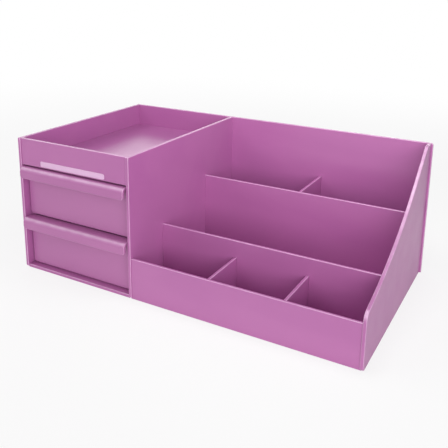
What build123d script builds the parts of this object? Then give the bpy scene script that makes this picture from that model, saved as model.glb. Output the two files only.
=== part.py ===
from build123d import *
import math
import os

# Desk organizer of moulded plastic panels: a cabinet with a tray and two drawers, and a tier of stepped compartments.
# Millimetres, +Z up, front towards -Y, origin on the table under the middle of the whole object.

# Overall size
case_width = 310.0          # across the outer faces of the two side walls
case_depth = 172.0          # front edges of the uprights to the rear face of the back panel
case_height = 120.0
cabinet_width = 117.5       # outer face of the left wall to the tier side of the partition

# Panel thicknesses
wall = 2.8                  # the three uprights
panel = 2.4                 # lip, step walls and dividers
floor_thickness = 3.0
tray_thickness = 2.0
back_thickness = 2.4

# Edges and corners
edge_round = 0.7            # exposed long edges of every panel
foot_radius = 3.0           # lower front corner of the uprights
brow_radius = 0.8           # upper front corner of the two straight uprights
crown_radius = 4.0          # where the swept edge meets the level top
back_corner = 2.0           # outer corners of the back panel

# Joinery
fit = 0.12                  # play between a panel's end and its housing, and between a tab and its slot
housing_share = 1 / 3       # depth of a housing as a share of the panel that it is cut in
back_overhang = 1.5         # back panel past the outer faces of the side walls
tab_width = 14.0
tab_chamfer = 0.5
upright_tab_count = 3
wide_floor_tab_count = 3
narrow_floor_tab_count = 2
panel_setback = 1.0         # lip, front wall and floor behind the front edges of the uprights

# Tier of compartments
front_wall_height = 35.5
mid_step_height = 50.0
rear_step_height = 74.0
front_row_depth = 42.4      # clear depth between the front wall and the middle step wall
middle_row_depth = 68.8     # clear depth between the two step walls
first_cell_width = 69.3     # clear width beside the partition, front row
second_cell_width = 60.0    # clear width of the next cell
rear_cell_width = 93.5      # clear width beside the partition, rear row

# Swept top edge of the right wall
shoulder_rise = 0.5         # where the front edge starts to turn, above the front wall
shoulder_radius = 7.8
sweep_knee_depth = 73.0     # corner that the sweep bends round, behind the front edge
sweep_knee_height = 58.7
sweep_share = 0.95          # share of the shorter leg beside the knee that the bend takes up
crown_length = 12.0         # level top in front of the back panel

# Tray on the cabinet
lip_height = 23.5

# Drawers
drawer_recess = 6.0         # drawer fronts behind the front edges of the uprights
drawer_gap = 1.2            # visible gap above each drawer and between the two
drawer_side_gap = 0.8
slide_gap = 0.3             # under the drawer box, on the floor or on the rails
front_lift = 0.9            # lower edge of a drawer front above the surface that the drawer slides on
front_thickness = 2.4
front_corner = 3.0          # lower corners of the drawer front
front_edge_round = 1.6
box_wall = 1.8
box_floor = 2.0
box_inset = 0.4             # sides of the box inside the edges of the front
box_drop = 3.0              # rim of the box below the top of the front
box_corner = 4.0
box_bottom_round = 2.0
box_back_gap = 4.0          # behind the closed drawer
rail_width = 2.2
rail_height = 2.0
rail_gap = 0.4              # between a closed drawer front and the end of a rail

# Hooded pull on each drawer
pull_proud = 3.5            # pull in front of the front edges of the uprights
pull_drop = 10.0            # lower edge of the hood below the top of the drawer
pull_wall = 2.0
pull_radius = 4.6
pull_corner = 2.5           # lower corners of the hood
pull_lip_round = 0.6

# Places worked out from the sizes above
left_outer = -case_width / 2
left_inner = left_outer + wall
partition_right = left_outer + cabinet_width
partition_left = partition_right - wall
right_outer = case_width / 2
right_inner = right_outer - wall
front = -(case_depth - pull_proud) / 2
back = front + case_depth
back_inner = back - back_thickness
panel_front = front + panel_setback
panel_rear = panel_front + panel
mid_step_front = panel_rear + front_row_depth
mid_step_rear = mid_step_front + panel
rear_step_front = mid_step_rear + middle_row_depth
rear_step_rear = rear_step_front + panel
tray_underside = case_height - lip_height
shoulder_base = front_wall_height + shoulder_rise

wall_housing = wall * housing_share
panel_housing = panel * housing_share
back_housing = back_thickness * housing_share
wall_reach = wall_housing - fit
panel_reach = panel_housing - fit
back_reach = back_housing - fit

drawer_face = front + drawer_recess
front_bottom = floor_thickness + front_lift
drawer_height = (tray_underside - front_bottom - 2 * drawer_gap) / 2
drawer_pitch = drawer_height + drawer_gap
box_bottom = floor_thickness + slide_gap
rail_top = box_bottom + drawer_pitch - slide_gap
front_width = partition_left - left_inner - 2 * drawer_side_gap
box_width = front_width - 2 * box_inset
bay_centre = (left_inner + partition_left) / 2
pull_reach = drawer_recess + pull_proud
box_front = drawer_face + front_thickness
box_back = back_inner - box_back_gap

# A cut runs this far past a face that it opens
beyond = 1.0


def block(x, y, z):
    """Solid between two limits along each axis."""
    sizes = [high - low for low, high in (x, y, z)]
    middle = [(low + high) / 2 for low, high in (x, y, z)]
    return Pos(*middle) * Box(*sizes)


def grown(limits, margin):
    """The two limits, each moved outwards."""
    return limits[0] - margin, limits[1] + margin


def spaced(limits, count):
    """Evenly spaced centres between two limits."""
    step = (limits[1] - limits[0]) / count
    return [limits[0] + step * (i + 0.5) for i in range(count)]


def edges_at(shape, along, sort_axis, place):
    """Edges that run along one axis, at the lowest (0) or highest (-1) place on another."""
    return shape.edges().filter_by(along).group_by(sort_axis)[place]


# Tabs on rear edges, and the slots in the back panel that take them

def tab_limits(centre):
    return centre - tab_width / 2, centre + tab_width / 2


def tab_on_back(x, z):
    """A tab through the back panel, with its end bevelled to lead it in."""
    tab = block(x, (back_inner - beyond, back - fit), z)
    return chamfer(tab.faces().sort_by(Axis.Y)[-1].edges(), tab_chamfer)


def slot_in_back(x, z):
    return block(grown(x, fit), (back_inner - beyond, back + beyond), grown(z, fit))


upright_tab_heights = [tab_limits(z) for z in spaced((floor_thickness, case_height), upright_tab_count)]
bay_span = (left_inner, partition_left)
tier_span = (partition_right, right_inner)
floor_level = (0, floor_thickness)
tray_level = (tray_underside, tray_underside + tray_thickness)
floor_tabs = [
    (bay_span, floor_level, narrow_floor_tab_count),
    (tier_span, floor_level, wide_floor_tab_count),
    (bay_span, tray_level, narrow_floor_tab_count),
]


# Housings: shallow grooves in an upright's face that take the ends of the panels

def housing(face, into, y, z):
    """Groove cut into an upright from its face, towards +X (into = 1) or -X (into = -1)."""
    x = sorted((face - into * beyond, face + into * wall_housing))
    return block(x, grown(y, fit), grown(z, fit))


floor_end = (front + foot_radius + beyond, back_inner)
bay_panels = [
    (floor_end, floor_level),
    ((panel_rear, back_inner), tray_level),
    ((panel_front, panel_rear), (tray_underside, case_height + beyond)),
]
tier_panels = [
    (floor_end, floor_level),
    ((panel_front, panel_rear), (0, front_wall_height)),
    ((mid_step_front, mid_step_rear), (floor_thickness, mid_step_height)),
    ((rear_step_front, rear_step_rear), (floor_thickness, rear_step_height)),
]


def cut_housings(upright, face, into, panels):
    for y, z in panels:
        upright -= housing(face, into, y, z)
    return upright


def add_upright_tabs(upright, x):
    for z in upright_tab_heights:
        upright += tab_on_back(x, z)
    return upright


# Uprights

def round_foot(upright):
    lower_front = edges_at(upright, Axis.X, Axis.Y, 0).sort_by(Axis.Z)[0]
    return fillet(lower_front, foot_radius)


def round_exposed(upright):
    """Rounds the front edges, and with them the top and bottom edges that they run into."""
    return fillet(edges_at(upright, Axis.Z, Axis.Y, 0), edge_round)


def plain_upright(x):
    upright = round_foot(block(x, (front, back_inner), (0, case_height)))
    upper_front = edges_at(upright, Axis.X, Axis.Z, -1).sort_by(Axis.Y)[0]
    return round_exposed(fillet(upper_front, brow_radius))


def drawer_rail(face, into):
    """Ledge under the upper drawer, on the drawer side of an upright."""
    x = sorted((face - into * edge_round, face + into * rail_width))
    return block(x, (box_front + rail_gap, back_inner), (rail_top - rail_height, rail_top))


def left_side_wall():
    x = (left_outer, left_inner)
    upright = add_upright_tabs(plain_upright(x), x) + drawer_rail(left_inner, 1)
    return cut_housings(upright, left_inner, -1, bay_panels)


def cabinet_partition():
    x = (partition_left, partition_right)
    upright = add_upright_tabs(plain_upright(x), x) + drawer_rail(partition_left, -1)
    upright = cut_housings(upright, partition_left, 1, bay_panels)
    return cut_housings(upright, partition_right, -1, tier_panels)


def swept_outline():
    """Outline of the right wall: a round shoulder at the front, a sweep up, and a level top at the back."""
    centre = Vector(front + shoulder_radius, shoulder_base)
    knee = Vector(front + sweep_knee_depth, sweep_knee_height)
    crown = Vector(back_inner - crown_length, case_height)
    run, rise = knee.X - centre.X, knee.Y - centre.Y
    # The shoulder ends where a line to the knee leaves it
    angle = math.atan2(rise, run) + math.acos(shoulder_radius / math.hypot(run, rise))
    shoulder = CenterArc(centre, shoulder_radius, 180, math.degrees(angle) - 180)
    lower_leg = knee - shoulder @ 1
    upper_leg = crown - knee
    reach = sweep_share * min(lower_leg.length, upper_leg.length)
    bend_start = knee - lower_leg.normalized() * reach
    bend_end = knee + upper_leg.normalized() * reach
    sweep = Line(shoulder @ 1, bend_start) + TangentArc(bend_start, bend_end, tangent=lower_leg)
    back_edge = [(back_inner, case_height), (back_inner, 0)]
    rest = Polyline(bend_end, crown, *back_edge, (front, 0), (front, shoulder_base))
    return make_face(shoulder + sweep + rest)


def right_side_wall():
    x = (right_inner, right_outer)
    upright = round_foot(extrude(Plane.YZ.offset(right_inner) * swept_outline(), wall))
    crown_edge = edges_at(upright, Axis.X, Axis.Z, -1).sort_by(Axis.Y)[0]
    upright = round_exposed(fillet(crown_edge, crown_radius))
    return cut_housings(add_upright_tabs(upright, x), right_inner, 1, tier_panels)


# Panels between the uprights

def between(span, y, z):
    """Panel whose ends sit in the housings of the uprights on both sides."""
    return block(grown(span, wall_reach), y, z)


def round_top(shape):
    return fillet(edges_at(shape, Axis.X, Axis.Z, -1), edge_round)


def add_floor_tabs(shape, span, level, count):
    for centre in spaced(span, count):
        shape += tab_on_back(tab_limits(centre), level)
    return shape


def drawer_bay_floor():
    """Floor under the lower drawer, narrower at the front, where the feet of the uprights are round."""
    shape = block(bay_span, (panel_front, back_inner), floor_level)
    shape = fillet(edges_at(shape, Axis.X, Axis.Y, 0), edge_round)
    return add_floor_tabs(shape + between(bay_span, floor_end, floor_level), *floor_tabs[0])


def tier_floor():
    shape = block(tier_span, (panel_rear, back_inner), floor_level)
    return add_floor_tabs(shape + between(tier_span, floor_end, floor_level), *floor_tabs[1])


def tray_floor():
    return add_floor_tabs(between(bay_span, (panel_rear, back_inner), tray_level), *floor_tabs[2])


def tray_front_lip():
    lip = between(bay_span, (panel_front, panel_rear), (tray_underside, case_height))
    return fillet(edges_at(round_top(lip), Axis.X, Axis.Z, 0).sort_by(Axis.Y)[0], edge_round)


# Dividers stand across the rows, and their ends sit in housings of the walls that they meet

front_divider_places = [
    partition_right + first_cell_width,
    partition_right + first_cell_width + panel + second_cell_width,
]
rear_divider_place = partition_right + rear_cell_width
front_divider_level = (floor_thickness, front_wall_height)
rear_divider_level = (floor_thickness, rear_step_height)


def divider_limits(place):
    return place, place + panel


def divider_housing(place, y, z):
    return block(grown(divider_limits(place), fit), sorted(y), grown(z, fit))


def divider(place, y, z):
    shape = block(divider_limits(place), y, z)
    return fillet(edges_at(shape, Axis.Y, Axis.Z, -1), edge_round)


def tier_front_wall():
    shape = round_top(between(tier_span, (panel_front, panel_rear), (0, front_wall_height)))
    shape = fillet(edges_at(shape, Axis.X, Axis.Z, 0).sort_by(Axis.Y)[0], edge_round)
    for place in front_divider_places:
        shape -= divider_housing(place, (panel_rear - panel_housing, panel_rear + beyond), front_divider_level)
    return shape


def mid_step_wall():
    y = (mid_step_front, mid_step_rear)
    shape = round_top(between(tier_span, y, (floor_thickness, mid_step_height)))
    for place in front_divider_places:
        cut = (mid_step_front - beyond, mid_step_front + panel_housing)
        shape -= divider_housing(place, cut, front_divider_level)
    return shape


def rear_step_wall():
    y = (rear_step_front, rear_step_rear)
    shape = round_top(between(tier_span, y, rear_divider_level))
    cut = (rear_step_rear - panel_housing, rear_step_rear + beyond)
    return shape - divider_housing(rear_divider_place, cut, rear_divider_level)


def front_divider(place):
    return divider(place, (panel_rear - panel_reach, mid_step_front + panel_reach), front_divider_level)


def rear_divider():
    y = (rear_step_rear - panel_reach, back_inner + back_reach)
    return divider(rear_divider_place, y, rear_divider_level)


def back_panel():
    """Full-width back, slotted for the tabs of the uprights and floors."""
    outline = grown((left_outer, right_outer), back_overhang)
    shape = block(outline, (back_inner, back), (0, case_height))
    shape = fillet(edges_at(shape, Axis.Y, Axis.Z, -1), back_corner)
    shape = fillet(edges_at(shape, Axis.X, Axis.Z, -1), edge_round)
    for x in ((left_outer, left_inner), (partition_left, partition_right), (right_inner, right_outer)):
        for z in upright_tab_heights:
            shape -= slot_in_back(x, z)
    for span, level, count in floor_tabs:
        for centre in spaced(span, count):
            shape -= slot_in_back(tab_limits(centre), level)
    cut = (back_inner - beyond, back_inner + back_housing)
    return shape - divider_housing(rear_divider_place, cut, rear_divider_level)


# Drawers: two of one moulding

def drawer_front():
    """Front plate with round lower corners and softened outer edges."""
    x = (bay_centre - front_width / 2, bay_centre + front_width / 2)
    plate = block(x, (drawer_face, box_front), (front_bottom, front_bottom + drawer_height))
    plate = fillet(edges_at(plate, Axis.Y, Axis.Z, 0), front_corner)
    outer = plate.faces().sort_by(Axis.Y)[0]
    return fillet(outer.edges() - edges_at(plate, Axis.X, Axis.Z, -1), front_edge_round)


def drawer_box():
    """Open box behind the front, with round inner and outer corners."""
    x = (bay_centre - box_width / 2, bay_centre + box_width / 2)
    rim = front_bottom + drawer_height - box_drop
    outside = block(x, (box_front, box_back), (box_bottom, rim))
    outside = fillet(edges_at(outside, Axis.Z, Axis.Y, -1), box_corner)
    lower = outside.faces().sort_by(Axis.Z)[0].edges() - edges_at(outside, Axis.X, Axis.Y, 0)
    outside = fillet(lower, box_bottom_round)
    inside = block(grown(x, -box_wall), (box_front, box_back - box_wall), (box_bottom + box_floor, rim + beyond))
    inside = fillet(inside.edges().filter_by(Axis.Z), box_corner - box_wall)
    inside = fillet(inside.faces().sort_by(Axis.Z)[0].edges(), box_bottom_round)
    return outside - inside


def pull_hood():
    """Hood along the top of the front: level top, round nose, and a skirt that fingers reach behind."""
    top = front_bottom + drawer_height
    nose = drawer_face - pull_reach
    inner_radius = pull_radius - pull_wall
    joint = drawer_face + front_thickness / 2
    outer_top = Line((joint, top), (nose + pull_radius, top))
    outer_nose = RadiusArc(outer_top @ 1, (nose, top - pull_radius), -pull_radius)
    skirt = Polyline(
        outer_nose @ 1,
        (nose, top - pull_drop),
        (nose + pull_wall, top - pull_drop),
        (nose + pull_wall, top - pull_radius),
    )
    inner_nose = RadiusArc(skirt @ 1, (nose + pull_radius, top - pull_wall), inner_radius)
    underside = Polyline(inner_nose @ 1, (joint, top - pull_wall), (joint, top))
    profile = make_face(outer_top + outer_nose + skirt + inner_nose + underside)
    hood = extrude(Plane.YZ.offset(bay_centre - front_width / 2) * profile, front_width)
    hood = fillet(edges_at(hood, Axis.Y, Axis.Z, 0), pull_corner)
    # The round along the lower front edge runs on up both ends and over the nose
    return fillet(edges_at(hood, Axis.X, Axis.Z, 0).sort_by(Axis.Y)[0], pull_lip_round)


def lower_drawer():
    return drawer_front() + drawer_box() + pull_hood()


def upper_drawer():
    return Pos(0, 0, drawer_pitch) * lower_drawer()


pieces = {
    "left_side_wall": left_side_wall(),
    "cabinet_partition": cabinet_partition(),
    "right_side_wall": right_side_wall(),
    "back_panel": back_panel(),
    "drawer_bay_floor": drawer_bay_floor(),
    "tier_floor": tier_floor(),
    "tray_floor": tray_floor(),
    "tray_front_lip": tray_front_lip(),
    "tier_front_wall": tier_front_wall(),
    "mid_step_wall": mid_step_wall(),
    "rear_step_wall": rear_step_wall(),
    "front_divider_left": front_divider(front_divider_places[0]),
    "front_divider_right": front_divider(front_divider_places[1]),
    "rear_divider": rear_divider(),
    "upper_drawer": upper_drawer(),
    "lower_drawer": lower_drawer(),
}

os.makedirs("parts", exist_ok=True)
for name, shape in pieces.items():
    export_step(shape, f"parts/{name}.step")
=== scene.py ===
"""Looks of a desk organizer in orchid-purple plastic: finishes, bare plate on its lip, studio and camera."""

import logging
import math
from collections.abc import Callable
from dataclasses import dataclass
from enum import Enum
from typing import Any

import bpy
from mathutils import Matrix, Vector


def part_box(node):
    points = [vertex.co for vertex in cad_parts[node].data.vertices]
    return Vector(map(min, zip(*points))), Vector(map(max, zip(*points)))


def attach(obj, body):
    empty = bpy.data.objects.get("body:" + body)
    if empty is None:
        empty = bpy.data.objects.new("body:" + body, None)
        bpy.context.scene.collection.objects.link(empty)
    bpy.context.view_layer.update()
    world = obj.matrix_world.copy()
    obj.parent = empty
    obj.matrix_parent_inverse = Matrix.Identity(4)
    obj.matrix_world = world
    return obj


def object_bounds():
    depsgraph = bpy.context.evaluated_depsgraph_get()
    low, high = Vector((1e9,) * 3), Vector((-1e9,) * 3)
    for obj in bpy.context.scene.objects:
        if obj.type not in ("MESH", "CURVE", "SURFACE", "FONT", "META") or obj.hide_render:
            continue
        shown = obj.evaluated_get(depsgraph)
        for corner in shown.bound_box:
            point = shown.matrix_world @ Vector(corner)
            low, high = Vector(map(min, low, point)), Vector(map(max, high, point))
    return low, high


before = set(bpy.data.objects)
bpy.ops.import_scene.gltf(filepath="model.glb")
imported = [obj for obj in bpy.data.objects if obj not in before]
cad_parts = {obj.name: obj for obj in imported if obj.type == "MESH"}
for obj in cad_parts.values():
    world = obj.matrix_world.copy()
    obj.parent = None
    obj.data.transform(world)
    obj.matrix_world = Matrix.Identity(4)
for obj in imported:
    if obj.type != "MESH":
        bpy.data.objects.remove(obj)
cad_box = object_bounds()

log = logging.getLogger("organizer")

MM = 0.001
WHITE_IN_GLOSS = 0.3        # share of the white room that shows in reflections
NOISE_RANGE = (0.3, 0.7)    # where most of a noise's values lie
TOUCHING = 0.01 * MM        # two places closer than this are one


class Slot(Enum):
    """Material slot names for new pieces; no piece here is filed under one."""

    CASE = "case_plastic"


class Body(Enum):
    """Bodies that new pieces ride on."""

    CASE = "case"


class End(Enum):
    """Ends of a bar along x."""

    LEFT = -1
    RIGHT = 1


# Nodes

def linear(hex_colour: str) -> tuple[float, float, float, float]:
    """Turn an sRGB hex colour into linear RGBA.

    Args:
        hex_colour: Six hex digits after a hash sign.

    Returns:
        Red, green, blue and an alpha of 1.
    """
    channels = [int(hex_colour[i:i + 2], 16) / 255 for i in (1, 3, 5)]
    red, green, blue = (c / 12.92 if c <= 0.04045 else ((c + 0.055) / 1.055) ** 2.4 for c in channels)
    return red, green, blue, 1.0


def add_node(tree: bpy.types.NodeTree, kind: str, inputs: dict[Any, Any], **settings: Any) -> bpy.types.Node:
    """Add a node with its settings and links.

    Args:
        tree: Node tree that gets the node.
        kind: Blender's name for the node type.
        inputs: Values for inputs by name or number. A socket is linked, anything else is set.
        **settings: Properties of the node.

    Returns:
        The new node.
    """
    node = tree.nodes.new(kind)
    for name, value in settings.items():
        setattr(node, name, value)
    for name, value in inputs.items():
        if isinstance(value, bpy.types.NodeSocket):
            tree.links.new(value, node.inputs[name])
        else:
            node.inputs[name].default_value = value
    return node


def calculate(tree: bpy.types.NodeTree, operation: str, first: Any, second: Any) -> bpy.types.NodeSocket:
    """Add a node that works out one number from two.

    Args:
        tree: Node tree that gets the node.
        operation: Blender's name for the sum.
        first: Number or socket.
        second: Number or socket.

    Returns:
        The socket with the result.
    """
    return add_node(tree, "ShaderNodeMath", {0: first, 1: second}, operation=operation).outputs[0]


def noise(
    tree: bpy.types.NodeTree, place: bpy.types.NodeSocket, size_mm: float, **inputs: float
) -> bpy.types.NodeSocket:
    """Add a noise with features of one size.

    Args:
        tree: Node tree that gets the node.
        place: Object coordinates, in metres.
        size_mm: Size of a feature.
        **inputs: Other inputs of the noise.

    Returns:
        The socket with its value.
    """
    scale = 1 / (size_mm * MM)
    return add_node(tree, "ShaderNodeTexNoise", {"Vector": place, "Scale": scale, **inputs}).outputs["Fac"]


def rescale(
    tree: bpy.types.NodeTree,
    value: bpy.types.NodeSocket,
    source: tuple[float, float],
    target: tuple[Any, Any] = (0.0, 1.0),
    smooth: bool = False,
) -> bpy.types.NodeSocket:
    """Add a node that maps one range of values to another and clamps the rest.

    Args:
        tree: Node tree that gets the node.
        value: Socket with the value.
        source: Range that it comes from.
        target: Range that it goes to, as numbers or sockets.
        smooth: Whether the change starts and ends gently.

    Returns:
        The socket with the result.
    """
    low, high = target
    node = add_node(
        tree,
        "ShaderNodeMapRange",
        {"Value": value, "From Min": source[0], "From Max": source[1], "To Min": low, "To Max": high},
        interpolation_type="SMOOTHSTEP" if smooth else "LINEAR",
    )
    return node.outputs[0]


def bump(
    tree: bpy.types.NodeTree,
    height: bpy.types.NodeSocket,
    depth_mm: float,
    strength: float = 1.0,
    **inputs: Any,
) -> bpy.types.NodeSocket:
    """Add a bump.

    Args:
        tree: Node tree that gets the node.
        height: Socket with the height, from 0 to 1.
        depth_mm: What a height of 1 stands for.
        strength: Of the bump.
        **inputs: Other inputs of the bump.

    Returns:
        The socket with the bent normal.
    """
    values = {"Height": height, "Strength": strength, "Distance": depth_mm * MM, **inputs}
    return add_node(tree, "ShaderNodeBump", values).outputs[0]


def seen_directly(tree: bpy.types.NodeTree) -> bpy.types.NodeSocket:
    """One for rays from the camera and through clear material, a share for gloss, zero for the light itself.

    Args:
        tree: Node tree that gets the nodes.

    Returns:
        The socket with that value.
    """
    path = add_node(tree, "ShaderNodeLightPath", {}).outputs
    gloss = calculate(tree, "MULTIPLY", path["Is Glossy Ray"], WHITE_IN_GLOSS)
    bright = calculate(tree, "MAXIMUM", path["Is Camera Ray"], gloss)
    return calculate(tree, "MAXIMUM", bright, path["Is Transmission Ray"])


def empty_material(name: str) -> bpy.types.Material:
    """New material with an empty node tree."""
    material = bpy.data.materials.new(name)
    material.use_nodes = True
    material.node_tree.nodes.clear()
    return material


# Finishes

@dataclass(frozen=True)
class MouldedPolystyrene:
    """Injection-moulded polystyrene, coloured in the mass.

    A polished mould gives it a soft gloss. The melt leaves faint cloudy streaks in the colour, large panels
    sink a little between their edges, and the skin has a fine orange peel that breaks up the reflections.
    Round edges and slanted faces get a paler colour, uneven along them: a painted highlight.

    Args:
        name: Of the material.
        colour: Main colour.
        streak_colour: Of the streaks.
        painted_highlight_colour: Painted highlight on round edges and slanted faces.
        roughness: Mean roughness.
        roughness_swing: How far patches of the skin depart from it.
        ior: Index of refraction.
        streak_mm: Width of a streak.
        streak_stretch: Scale of the streaks along x, which draws them out.
        cloud_mm: Size of a patch of even gloss.
        sink_mm: Size of a sink mark.
        sink_depth_mm: Depth of a sink mark.
        peel_mm: Size of a bump in the peel, coarser than the real 0.5 mm so that it shows.
        peel_depth_mm: Depth of the peel.
        highlight_patch_mm: Length of an evenly rubbed stretch of edge.
        least_highlight: Share of the edge colour where an edge is rubbed least.
    """

    name: str
    colour: str
    streak_colour: str
    # pale colour painted on round edges and slanted faces as a highlight
    painted_highlight_colour: str
    roughness: float = 0.32
    roughness_swing: float = 0.03
    ior: float = 1.63
    streak_mm: float = 60.0
    streak_stretch: float = 0.35
    cloud_mm: float = 22.0
    sink_mm: float = 45.0
    sink_depth_mm: float = 0.04
    peel_mm: float = 1.6
    # highlight_patch_mm: Length of a stretch of edge with an even painted highlight. least_highlight: Share
    # of the painted highlight colour where it is faintest.
    peel_depth_mm: float = 0.004
    # size and faintest share of the painted highlight's unevenness
    highlight_patch_mm: float = 9.0
    least_highlight: float = 0.5

    def material(self) -> bpy.types.Material:
        """Build the material.

        Returns:
            A node material on Object coordinates.
        """
        material = empty_material(self.name)
        tree = material.node_tree
        place = add_node(tree, "ShaderNodeTexCoord", {}).outputs["Object"]
        shader = add_node(
            tree,
            "ShaderNodeBsdfPrincipled",
            {
                "Base Color": self.tint(tree, place),
                "Roughness": self.gloss(tree, place),
                "IOR": self.ior,
                "Normal": self.skin(tree, place),
            },
        )
        add_node(tree, "ShaderNodeOutputMaterial", {"Surface": shader.outputs[0]})
        return material

    def tint(self, tree: bpy.types.NodeTree, place: bpy.types.NodeSocket) -> bpy.types.NodeSocket:
        """Colour with its streaks and a painted highlight on round edges and slanted faces.

        Args:
            tree: Node tree that gets the nodes.
            place: Object coordinates.

        Returns:
            The socket with the colour.
        """
        scale = (self.streak_stretch, 1.0, 1.0)
        stretched = add_node(tree, "ShaderNodeMapping", {"Vector": place, "Scale": scale}).outputs[0]
        streaks = noise(tree, stretched, self.streak_mm, Detail=3.0, Distortion=0.6)
        streaked = add_node(
            tree,
            "ShaderNodeMix",
            {
                "Factor": rescale(tree, streaks, (0.35, 0.7), smooth=True),
                "A": linear(self.colour),
                "B": linear(self.streak_colour),
            },
            data_type="RGBA",
        )
        # painted highlight mixed in on round edges and slanted faces
        highlighted = add_node(
            tree,
            "ShaderNodeMix",
            {
                "Factor": self.painted_highlight_share(tree, place),
                "A": streaked.outputs["Result"],
                "B": linear(self.painted_highlight_colour),
            },
            data_type="RGBA",
        )
        return highlighted.outputs["Result"]

    def painted_highlight_share(self, tree: bpy.types.NodeTree, place: bpy.types.NodeSocket) -> bpy.types.NodeSocket:
        """How much painted highlight shows: none on faces square to the axes, most on round edges and
        slanted faces.

        Args:
            tree: Node tree that gets the nodes.
            place: Object coordinates.

        Returns:
            The socket with that share.
        """
        normal = add_node(tree, "ShaderNodeNewGeometry", {}).outputs["Normal"]
        sizes = add_node(tree, "ShaderNodeVectorMath", {0: normal}, operation="ABSOLUTE").outputs[0]
        x, y, z = add_node(tree, "ShaderNodeSeparateXYZ", {0: sizes}).outputs
        squareness = calculate(tree, "MAXIMUM", calculate(tree, "MAXIMUM", x, y), z)
        # painted highlight, made stronger and fainter along the edges by noise
        highlight_strength = rescale(tree, noise(tree, place, self.highlight_patch_mm, Detail=2.0), NOISE_RANGE, (self.least_highlight, 1.0))
        return rescale(tree, squareness, (0.995, 0.8), (0.0, highlight_strength))

    def gloss(self, tree: bpy.types.NodeTree, place: bpy.types.NodeSocket) -> bpy.types.NodeSocket:
        """Roughness that varies from patch to patch.

        Args:
            tree: Node tree that gets the nodes.
            place: Object coordinates.

        Returns:
            The socket with the roughness.
        """
        clouds = noise(tree, place, self.cloud_mm, Detail=4.0, Roughness=0.6)
        limits = (self.roughness - self.roughness_swing, self.roughness + self.roughness_swing)
        return rescale(tree, clouds, NOISE_RANGE, limits)

    def skin(self, tree: bpy.types.NodeTree, place: bpy.types.NodeSocket) -> bpy.types.NodeSocket:
        """Sink marks with the orange peel on top.

        Args:
            tree: Node tree that gets the nodes.
            place: Object coordinates.

        Returns:
            The socket with the bent normal.
        """
        sunk = bump(tree, noise(tree, place, self.sink_mm, Detail=0.0), self.sink_depth_mm)
        return bump(tree, noise(tree, place, self.peel_mm, Detail=1.0), self.peel_depth_mm, Normal=sunk)


@dataclass(frozen=True)
class StudioPaper:
    """Matt white paper under the object, which fades into the white of the room away from it.

    Args:
        name: Of the material.
        colour: Of the paper.
        roughness: Of the paper.
        grain_mm: Size of a fibre.
        grain_depth_mm: Depth of the fibres.
        near_white: Share of the room's white close to the object.
        clear_radius: Where the fade begins, in metres from the object's middle.
        white_radius: Where only white is left, in metres.
    """

    name: str = "matt_white_paper"
    colour: str = "#F4F3F4"
    roughness: float = 0.8
    grain_mm: float = 3.0
    grain_depth_mm: float = 0.1
    near_white: float = 0.8
    clear_radius: float = 0.35
    white_radius: float = 1.2

    def material(self) -> bpy.types.Material:
        """Build the material.

        Returns:
            A node material that keeps the object's shadow.
        """
        material = empty_material(self.name)
        tree = material.node_tree
        place = add_node(tree, "ShaderNodeTexCoord", {}).outputs["Object"]
        relief = bump(tree, noise(tree, place, self.grain_mm), self.grain_depth_mm, strength=0.1)
        paper = add_node(
            tree,
            "ShaderNodeBsdfPrincipled",
            {"Base Color": linear(self.colour), "Roughness": self.roughness, "Normal": relief},
        )
        away = add_node(tree, "ShaderNodeVectorMath", {0: place}, operation="LENGTH").outputs["Value"]
        radii = (self.clear_radius, self.white_radius)
        fade = rescale(tree, away, radii, (self.near_white, 1.0), smooth=True)
        share = calculate(tree, "MULTIPLY", fade, seen_directly(tree))
        white = add_node(tree, "ShaderNodeEmission", {"Strength": 1.0})
        both = add_node(tree, "ShaderNodeMixShader", {0: share, 1: paper.outputs[0], 2: white.outputs[0]})
        add_node(tree, "ShaderNodeOutputMaterial", {"Surface": both.outputs[0]})
        return material


ORCHID_CASE = MouldedPolystyrene(
    "moulded_polystyrene_orchid_case",
    colour="#B86EA8",
    streak_colour="#B368A4",
    # pale colour painted on round edges as a highlight
    painted_highlight_colour="#DDB2D5",
)
ORCHID_DRAWER = MouldedPolystyrene(
    "moulded_polystyrene_orchid_drawer",
    colour="#B56FA5",
    streak_colour="#B069A1",
    # pale colour painted on round edges as a highlight
    painted_highlight_colour="#CD99C3",
    roughness=0.34,
)
PALE_PLATE = MouldedPolystyrene(
    "moulded_polystyrene_pale_lilac",
    colour="#E3BADD",
    streak_colour="#DFB4D9",
    # pale colour painted on round edges as a highlight
    painted_highlight_colour="#E9C8E4",
)


# Sub-assemblies

def dress_nodes(title: str, nodes: tuple[str, ...], material: bpy.types.Material) -> None:
    """Give CAD nodes one finish.

    Args:
        title: Sub-assembly that they belong to, for the log.
        nodes: Names of the nodes.
        material: Finish that they get in place of the plain one.
    """
    for name in nodes:
        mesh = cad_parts[name].data
        mesh.materials.clear()
        mesh.materials.append(material)
        log.info("%s: %s wears %s", title, name, material.name)


@dataclass
class Carcass:
    """Uprights, back and floors that carry everything else.

    Args:
        uprights: Nodes of the three upright walls and the back.
        floors: Nodes of the two floors on the table.
    """

    uprights: tuple[str, ...] = ("left_side_wall", "cabinet_partition", "right_side_wall", "back_panel")
    floors: tuple[str, ...] = ("drawer_bay_floor", "tier_floor")

    def dress(self, material: bpy.types.Material) -> None:
        """Give all its panels one finish."""
        dress_nodes("carcass", self.uprights + self.floors, material)


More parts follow.
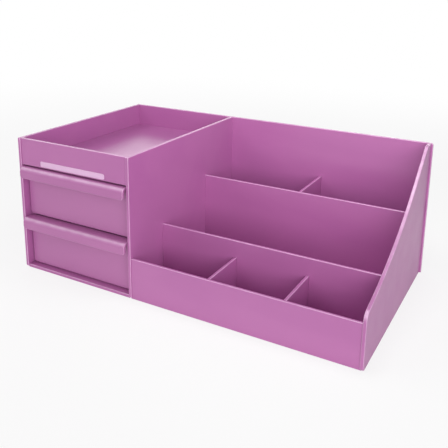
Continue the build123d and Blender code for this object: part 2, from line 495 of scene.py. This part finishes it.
@dataclass
class CompartmentTier:
    """Stepped rows of open compartments.

    Args:
        step_walls: Nodes of the walls along the rows, from front to back.
        dividers: Nodes of the short walls across the rows.
    """

    step_walls: tuple[str, ...] = ("tier_front_wall", "mid_step_wall", "rear_step_wall")
    dividers: tuple[str, ...] = ("front_divider_left", "front_divider_right", "rear_divider")

    def dress(self, material: bpy.types.Material) -> None:
        """Give all its panels one finish."""
        dress_nodes("compartment tier", self.step_walls + self.dividers, material)


@dataclass
class DrawerPair:
    """Two drawers of one moulding, each in one piece with its hooded pull.

    Args:
        drawers: Nodes of the drawers, from the top.
    """

    drawers: tuple[str, ...] = ("upper_drawer", "lower_drawer")

    def dress(self, material: bpy.types.Material) -> None:
        """Give both drawers one finish."""
        dress_nodes("drawers", self.drawers, material)


@dataclass
class Tray:
    """Open tray on the cabinet, with a bare plate on its lip: a thin bar with round corners.

    Args:
        panels: Nodes of the tray's own panels.
        lip: Node that carries the plate.
        length: Of the plate along the lip, in mm.
        height: Of the plate, in mm.
        thickness: Of the plate in front of the lip's face, in mm.
        sunk: How far the plate's back stands in the lip, in mm.
        above_edge: Lower edge of the plate above the lip's lower edge, in mm.
        left_radius: Radius of the plate's left corners, in mm.
        right_radius: Radius of the plate's right corners, in mm.
        rim: Round along the plate's front edges, in mm.
        smooth_angle: Edges flatter than this are shaded smooth, in degrees.
    """

    panels: tuple[str, ...] = ("tray_floor", "tray_front_lip")
    lip: str = "tray_front_lip"
    length: float = 68.5
    height: float = 4.8
    thickness: float = 0.5
    sunk: float = 0.1
    above_edge: float = 1.1
    left_radius: float = 1.0
    right_radius: float = 2.0
    rim: float = 0.25
    smooth_angle: float = 40.0

    def dress(self, material: bpy.types.Material, plate_material: bpy.types.Material) -> None:
        """Give the panels and the plate their finishes.

        Args:
            material: Finish of the panels.
            plate_material: Finish of the plate.
        """
        dress_nodes("tray", self.panels, material)
        plate = self.plate()
        plate.data.materials.append(plate_material)
        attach(plate, Body.CASE.value)
        log.info("tray: %s rides on %s", plate.name, Body.CASE.value)

    def plate(self) -> bpy.types.Object:
        """Model the plate on the lip's front face.

        Returns:
            The finished bar, without a finish.
        """
        low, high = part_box(self.lip)
        depth = (self.thickness + self.sunk) * MM
        centre = Vector((
            (low.x + high.x) / 2,
            low.y + self.sunk * MM - depth / 2,
            low.z + (self.above_edge + self.height / 2) * MM,
        ))
        size = Vector((self.length * MM, depth, self.height * MM))
        bpy.ops.object.select_all(action="DESELECT")
        bpy.ops.mesh.primitive_cube_add(size=1, location=centre, scale=size)
        plate = bpy.context.active_object
        plate.name = "lip_plate"
        bpy.ops.object.transform_apply(location=True, rotation=True, scale=True)
        self.round_end(plate, End.LEFT, centre.x, self.left_radius)
        self.round_end(plate, End.RIGHT, centre.x, self.right_radius)
        self.soften_front(plate, centre.y - depth / 2)
        bpy.ops.object.shade_smooth_by_angle(angle=math.radians(self.smooth_angle))
        return plate

    def round_end(self, plate: bpy.types.Object, end: End, middle: float, radius: float) -> None:
        """Round the two corners of one end.

        Args:
            plate: The bar.
            end: Which end.
            middle: Where the bar's middle is along x, in metres.
            radius: Corner radius, in mm.
        """
        select_edges(plate, lambda a, b: (a.x - middle) * end.value > 0 and runs_along_y(a, b))
        bpy.ops.mesh.bevel(offset=radius * MM, offset_type="OFFSET", segments=8, profile=0.5)
        bpy.ops.object.mode_set(mode="OBJECT")

    def soften_front(self, plate: bpy.types.Object, front: float) -> None:
        """Round the rim of the front face.

        Args:
            plate: The bar.
            front: Where the front face is along y, in metres.
        """
        select_edges(plate, lambda a, b: max(abs(a.y - front), abs(b.y - front)) < TOUCHING)
        bpy.ops.mesh.bevel(offset=self.rim * MM, offset_type="OFFSET", segments=3, profile=0.5)
        bpy.ops.object.mode_set(mode="OBJECT")


def runs_along_y(a: Vector, b: Vector) -> bool:
    """Whether the edge between two points runs along y."""
    step = b - a
    return abs(step.y) > 0.99 * step.length


def select_edges(obj: bpy.types.Object, wanted: Callable[[Vector, Vector], bool]) -> None:
    """Go to edit mode with only the wanted edges selected.

    Args:
        obj: The active mesh object.
        wanted: Whether an edge is wanted, from the places of its two ends.
    """
    bpy.ops.object.mode_set(mode="EDIT")
    bpy.ops.mesh.select_mode(type="EDGE")
    bpy.ops.mesh.select_all(action="DESELECT")
    bpy.ops.object.mode_set(mode="OBJECT")
    points = obj.data.vertices
    for edge in obj.data.edges:
        a, b = (points[i].co for i in edge.vertices)
        edge.select = wanted(a, b)
    bpy.ops.object.mode_set(mode="EDIT")


# Studio and camera

@dataclass(frozen=True)
class SoftBox:
    """Rectangular lamp that faces the object.

    Args:
        name: Of the lamp.
        place: Its middle, in metres.
        width: In metres.
        height: In metres.
        power: In watts.
    """

    name: str
    place: tuple[float, float, float]
    width: float
    height: float
    power: float

    def build(self) -> None:
        """Add the lamp to the scene, hidden from the camera."""
        lamp = bpy.data.lights.new(self.name, "AREA")
        lamp.shape = "RECTANGLE"
        lamp.size = self.width
        lamp.size_y = self.height
        lamp.energy = self.power
        box = bpy.data.objects.new(self.name, lamp)
        box.visible_camera = False
        bpy.context.scene.collection.objects.link(box)
        place = Vector(self.place)
        aim = (cad_box[0] + cad_box[1]) / 2 - place
        box.matrix_world = Matrix.Translation(place) @ aim.to_track_quat("-Z", "Y").to_matrix().to_4x4()


@dataclass
class Studio:
    """White room: a paper floor, even light all round and soft boxes.

    Args:
        floor_radius: Of the round floor, in metres.
        floor_gap: Between the object and the floor, in metres.
        room_light: Strength of the light from all round.
        paper: Finish of the floor.
        boxes: The lamps.
    """

    floor_radius: float = 9.0
    floor_gap: float = 0.05 * MM
    room_light: float = 0.22
    paper: StudioPaper = StudioPaper()
    boxes: tuple[SoftBox, ...] = (
        SoftBox("front_box", (1.05, -1.5, 0.6), width=2.2, height=1.0, power=25.5),
        SoftBox("top_box", (0.11, -0.03, 0.36), width=0.12, height=0.16, power=0.52),
        SoftBox("left_box", (-0.85, -0.35, 0.95), width=1.2, height=0.5, power=4.8),
        SoftBox("back_box", (-1.3, 1.4, 0.65), width=1.3, height=0.7, power=6.0),
        SoftBox("rear_box", (-0.1, 1.4, 0.25), width=0.8, height=0.4, power=4.0),
    )

    def build(self) -> None:
        """Make the floor, the room's light and the soft boxes."""
        self.floor()
        self.room()
        for box in self.boxes:
            box.build()
        log.info("studio: floor, room light and %d soft boxes", len(self.boxes))

    def floor(self) -> None:
        """Make the round floor just under the object."""
        bpy.ops.object.select_all(action="DESELECT")
        bpy.ops.mesh.primitive_circle_add(vertices=96, radius=self.floor_radius, fill_type="NGON")
        floor = bpy.context.active_object
        floor.name = "paper_floor"
        bpy.ops.transform.translate(value=(0, 0, cad_box[0].z - self.floor_gap))
        bpy.ops.object.transform_apply(location=True, rotation=True, scale=True)
        floor.data.materials.append(self.paper.material())

    def room(self) -> None:
        """Light the scene from all round, and show plain white behind it."""
        world = bpy.data.worlds.new("white_room")
        bpy.context.scene.world = world
        world.use_nodes = True
        tree = world.node_tree
        tree.nodes.clear()
        strength = rescale(tree, seen_directly(tree), (0.0, 1.0), (self.room_light, 1.0))
        light = add_node(tree, "ShaderNodeBackground", {"Color": linear("#FFFFFF"), "Strength": strength})
        add_node(tree, "ShaderNodeOutputWorld", {"Surface": light.outputs[0]})


@dataclass
class PhotoCamera:
    """Camera at the photograph's angle.

    Args:
        place: Where it stands, in mm.
        yaw: Turn to the object's right side, in degrees.
        pitch: Tilt down, in degrees.
        roll: Lean, in degrees.
        lens: Focal length, in mm.
        sensor: Width of the sensor, in mm.
        shift: Downward shift of the image, which keeps uprights nearly parallel.
        nearest: Nearest distance that it sees, in metres.
    """

    place: tuple[float, float, float] = (247.6, -449.3, 255.8)
    yaw: float = 28.86
    pitch: float = 14.26
    roll: float = 0.76
    lens: float = 50.03
    sensor: float = 36.0
    shift: float = 0.2
    nearest: float = 0.01

    def build(self) -> None:
        """Make it the scene's camera."""
        data = bpy.data.cameras.new("photo_camera")
        data.sensor_width = self.sensor
        data.lens = self.lens
        data.shift_y = -self.shift
        data.clip_start = self.nearest
        camera = bpy.data.objects.new("photo_camera", data)
        bpy.context.scene.collection.objects.link(camera)
        camera.matrix_world = Matrix.Translation(Vector(self.place) * MM) @ self.turn().to_4x4()
        bpy.context.scene.camera = camera
        log.info("camera: %s", camera.name)

    def turn(self) -> Matrix:
        """Work out how the camera is turned.

        Returns:
            Rotation whose columns are the camera's right, up and backward directions.
        """
        yaw, pitch, roll = (math.radians(angle) for angle in (self.yaw, self.pitch, self.roll))
        level = Vector((math.cos(yaw), math.sin(yaw), 0))
        across = Vector((-math.sin(yaw), math.cos(yaw), 0))
        ahead = across * math.cos(pitch) - Vector((0, 0, math.sin(pitch)))
        upright = level.cross(ahead)
        right = level * math.cos(roll) + upright * math.sin(roll)
        up = upright * math.cos(roll) - level * math.sin(roll)
        return Matrix((right, up, -ahead)).transposed()


def main() -> None:
    """Build the looks in order."""
    logging.basicConfig(level=logging.INFO, format="%(message)s")
    bpy.context.scene.view_settings.view_transform = "Standard"
    case_plastic = ORCHID_CASE.material()
    Carcass().dress(case_plastic)
    CompartmentTier().dress(case_plastic)
    Tray().dress(case_plastic, PALE_PLATE.material())
    DrawerPair().dress(ORCHID_DRAWER.material())
    Studio().build()
    PhotoCamera().build()


if __name__ == "__main__":
    main()
